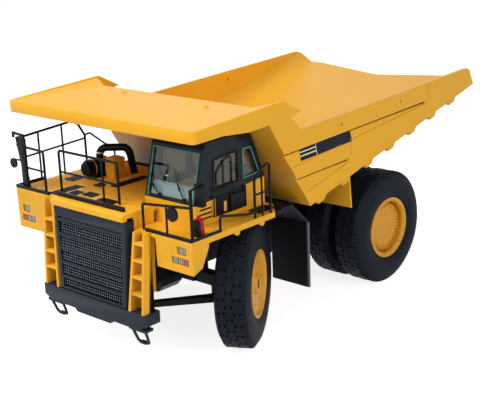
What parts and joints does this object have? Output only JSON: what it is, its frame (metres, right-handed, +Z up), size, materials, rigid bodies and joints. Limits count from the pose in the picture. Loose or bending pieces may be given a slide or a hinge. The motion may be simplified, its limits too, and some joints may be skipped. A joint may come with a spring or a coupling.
{
  "type": "scale model of a rigid mining dump truck",
  "caption": "Die-cast scale model of a rigid mining dump truck with a tipping bed and canopy, twin rear wheels, steered front wheels, offset cab and front ladders.",
  "frame": {"origin": "on the ground, under the middle of the model's length and width", "axes": "+X forward, +Y to the truck's left, +Z up"},
  "size_m": [0.2098, 0.1216, 0.1036],
  "materials": {
    "yellow_paint": "glossy sprayed yellow on die-cast zinc",
    "rim_yellow": "satin yellow wheel paint",
    "chassis_black": "satin black paint on die-cast zinc",
    "black_plastic": "satin black moulded ABS",
    "cab_paint": "gloss black-green moulded cab",
    "tyre_rubber": "matt vulcanised rubber",
    "cab_glazing": "clear moulded glazing",
    "lamp_lens": "clear lamp lens over silver",
    "rod_chrome": "plated rod",
    "interior_grey": "matt grey moulded interior",
    "red_paint": "gloss red"
  },
  "bodies": {
    "chassis": {"main_frame": "chassis_black", "engine_block": "chassis_black", "rear_axle": "yellow_paint", "front_axle": "chassis_black", "front_bumper": "black_plastic", "grille": "black_plastic", "hood": "yellow_paint", "left_fender": "yellow_paint", "right_fender": "yellow_paint", "headlamps": "lamp_lens", "ladders": "yellow_paint", "cab_lower": "yellow_paint", "cab_upper": "cab_paint", "cab_glass": "cab_glazing", "cab_door": "black_plastic", "cab_interior": "interior_grey", "equipment_box": "yellow_paint", "air_cleaner": "black_plastic", "side_tank": "chassis_black", "mudguards": "black_plastic", "right_handrails": "black_plastic", "front_handrails": "black_plastic", "left_handrails": "black_plastic", "mirrors": "black_plastic", "fire_extinguisher": "red_paint"},
    "bed": {"dump_body": "yellow_paint", "canopy": "yellow_paint", "floor_ribs": "yellow_paint", "bed_sills": "yellow_paint", "rock_guards": "yellow_paint"},
    "left_knuckle_body": {"left_knuckle": "chassis_black"},
    "right_knuckle_body": {"right_knuckle": "chassis_black"},
    "tie_rod_body": {"tie_rod": "chassis_black"},
    "left_front_wheel": {"left_front_tyre": "tyre_rubber", "left_front_rim": "rim_yellow"},
    "right_front_wheel": {"right_front_tyre": "tyre_rubber", "right_front_rim": "rim_yellow"},
    "left_rear_wheels": {"left_rear_tyres": "tyre_rubber", "left_rear_rims": "rim_yellow"},
    "right_rear_wheels": {"right_rear_tyres": "tyre_rubber", "right_rear_rims": "rim_yellow"},
    "left_hoist_barrel_body": {"left_hoist_barrel": "chassis_black"},
    "right_hoist_barrel_body": {"right_hoist_barrel": "chassis_black"},
    "left_hoist_rod_body": {"left_hoist_rod": "rod_chrome"},
    "right_hoist_rod_body": {"right_hoist_rod": "rod_chrome"}
  },
  "joints": [
    {"name": "steer_left", "type": "hinge", "parent": "chassis", "child": "left_knuckle_body", "pos_m": [0.062, 0.0376, 0.027], "axis": [0, 0, 1], "range_deg": [-62.7, 5.3]},
    {"name": "steer_right", "type": "hinge", "parent": "chassis", "child": "right_knuckle_body", "pos_m": [0.062, -0.0376, 0.027], "axis": [0, 0, 1], "range_deg": [-62.7, 5.3]},
    {"name": "tie_rod_pivot", "type": "hinge", "parent": "left_knuckle_body", "child": "tie_rod_body", "pos_m": [0.05498, 0.03376, 0.0212], "axis": [0, 0, 1], "range_deg": [-5.3, 62.7]},
    {"name": "spin_front_left", "type": "hinge", "parent": "left_knuckle_body", "child": "left_front_wheel", "pos_m": [0.05893, 0.04321, 0.027], "axis": [-0.4802, 0.8771, 0], "continuous": true},
    {"name": "spin_front_right", "type": "hinge", "parent": "right_knuckle_body", "child": "right_front_wheel", "pos_m": [0.06507, -0.04321, 0.027], "axis": [-0.4802, 0.8771, 0], "continuous": true},
    {"name": "spin_rear_left", "type": "hinge", "parent": "chassis", "child": "left_rear_wheels", "pos_m": [-0.037, 0.035, 0.027], "axis": [0, 1, 0], "continuous": true},
    {"name": "spin_rear_right", "type": "hinge", "parent": "chassis", "child": "right_rear_wheels", "pos_m": [-0.037, -0.035, 0.027], "axis": [0, 1, 0], "continuous": true},
    {"name": "bed_tip", "type": "hinge", "parent": "chassis", "child": "bed", "pos_m": [-0.066, 0, 0.049], "axis": [0, -1, 0], "range_deg": [0, 48]},
    {"name": "hoist_left_tilt", "type": "hinge", "parent": "chassis", "child": "left_hoist_barrel_body", "pos_m": [0.002, 0.0152, 0.037], "axis": [0, -1, 0], "range_deg": [-7.5, 0]},
    {"name": "hoist_left_slide", "type": "slide", "parent": "left_hoist_barrel_body", "child": "left_hoist_rod_body", "axis": [-0.8555, 0, 0.5178], "range_m": [0, 0.026]},
    {"name": "hoist_right_tilt", "type": "hinge", "parent": "chassis", "child": "right_hoist_barrel_body", "pos_m": [0.002, -0.0152, 0.037], "axis": [0, -1, 0], "range_deg": [-7.5, 0]},
    {"name": "hoist_right_slide", "type": "slide", "parent": "right_hoist_barrel_body", "child": "right_hoist_rod_body", "axis": [-0.8555, 0, 0.5178], "range_m": [0, 0.026]}
  ],
  "couplings": [
    {"joint": "steer_right", "follows": "steer_left", "ratio": 1},
    {"joint": "tie_rod_pivot", "follows": "steer_left", "ratio": -1},
    {"joint": "hoist_left_tilt", "follows": "bed_tip", "ratio": -0.15208},
    {"joint": "hoist_left_slide", "follows": "bed_tip", "m_per_rad": 0.030438},
    {"joint": "hoist_right_tilt", "follows": "bed_tip", "ratio": -0.15208},
    {"joint": "hoist_right_slide", "follows": "bed_tip", "m_per_rad": 0.030438}
  ]
}
